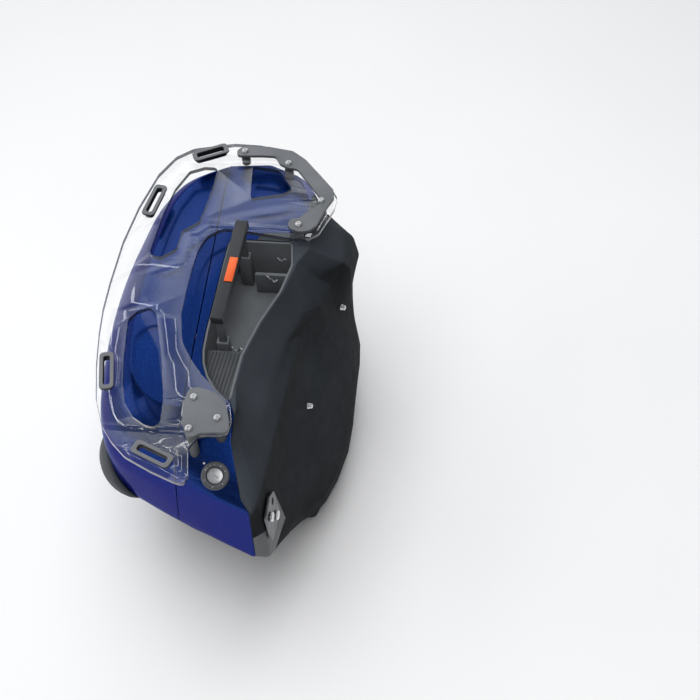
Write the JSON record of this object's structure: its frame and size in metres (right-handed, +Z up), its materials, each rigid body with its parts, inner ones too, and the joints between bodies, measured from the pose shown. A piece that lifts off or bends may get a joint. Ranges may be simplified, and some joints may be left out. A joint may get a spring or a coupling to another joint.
{
  "type": "motorcycle saddlebag",
  "caption": "Hard motorcycle side case: painted lid and cover over a black casing, keyed lock, pull-up carry handle and a clear rack plate with strap slots.",
  "frame": {"origin": "centre of the bounding box in plan, on the floor under the feet", "axes": "+X towards the wheel side, +Y towards the rear of the motorcycle, +Z up; the long side runs along Y"},
  "size_m": [0.3214, 0.5208, 0.4195],
  "materials": {
    "blue_paint": "gloss metallic paint",
    "black_casing": "textured",
    "black_liner": "satin",
    "dark_grip": "ribbed",
    "rubber": "matte",
    "clear_plate": "clear",
    "grey_bracket": "satin",
    "grey_bar": "satin",
    "orange_tab": "satin",
    "steel": "bright",
    "zinc": "dull",
    "dark_ring": "satin",
    "dark_bumper": "textured",
    "grey_guard": "satin",
    "white_dot": "satin"
  },
  "bodies": {
    "case": {"body_shell": "blue_paint", "inner_casing": "black_casing", "handle_recess": "black_liner", "grip_floor": "dark_grip", "trench_rib": "black_liner", "handle_socket_front": "black_liner", "handle_socket_rear": "black_liner", "clip_rear": "steel", "clip_front": "steel", "clip_latch": "steel", "rack_plate": "clear_plate", "upper_bracket": "grey_bracket", "lower_bracket": "grey_bracket", "lock_ring": "dark_ring", "lock_dot": "white_dot", "latch_guide": "black_liner", "hinge_leaf_body": "black_liner", "hinge_pin": "steel", "mount_bracket": "zinc", "mount_bolt_1": "steel", "mount_bolt_2": "steel", "locating_stud_1": "steel", "locating_stud_2": "steel", "lid_seal": "rubber", "lower_corner_guard": "grey_guard", "slot_liner_1": "grey_bracket", "foot_1": "rubber", "slot_liner_2": "grey_bracket", "foot_2": "rubber", "slot_liner_3": "grey_bracket", "foot_3": "rubber", "slot_liner_4": "grey_bracket", "foot_4": "rubber", "spacer_1": "black_liner", "bracket_screw_1": "steel", "spacer_2": "black_liner", "bracket_screw_2": "steel", "spacer_3": "black_liner", "bracket_screw_3": "steel", "spacer_4": "black_liner", "bracket_screw_4": "steel", "spacer_5": "black_liner", "bracket_screw_5": "steel", "spacer_6": "black_liner", "bracket_screw_6": "steel", "spacer_7": "black_liner", "bracket_screw_7": "steel"},
    "lid": {"lid_shell": "blue_paint", "latch_keeper": "black_liner", "hinge_leaf_lid": "black_liner", "corner_bumper": "dark_bumper"},
    "handle": {"handle_bar": "grey_bar", "handle_leg_front": "black_liner", "handle_leg_rear": "black_liner", "handle_tab": "orange_tab"},
    "lock": {"lock_cylinder": "steel", "lock_cam": "zinc"},
    "latch": {"latch_bolt": "zinc"}
  },
  "joints": [
    {"name": "lid_hinge", "type": "hinge", "parent": "case", "child": "lid", "pos_m": [-0.11981, 0.01151, 0.036], "axis": [0, -1, 0], "range_deg": [0, 80]},
    {"name": "handle_slide", "type": "slide", "parent": "case", "child": "handle", "axis": [0, 0, 1], "range_m": [-0.044, 0]},
    {"name": "lock_turn", "type": "hinge", "parent": "case", "child": "lock", "pos_m": [0.02169, -0.21649, 0.3316], "axis": [0, -0.515, 0.8572], "range_deg": [0, 90]},
    {"name": "latch_slide", "type": "slide", "parent": "case", "child": "latch", "axis": [1, 0, 0], "range_m": [0, 0.0125]}
  ],
  "couplings": [
    {"joint": "latch_slide", "follows": "lock_turn", "m_per_rad": 0.007632}
  ]
}
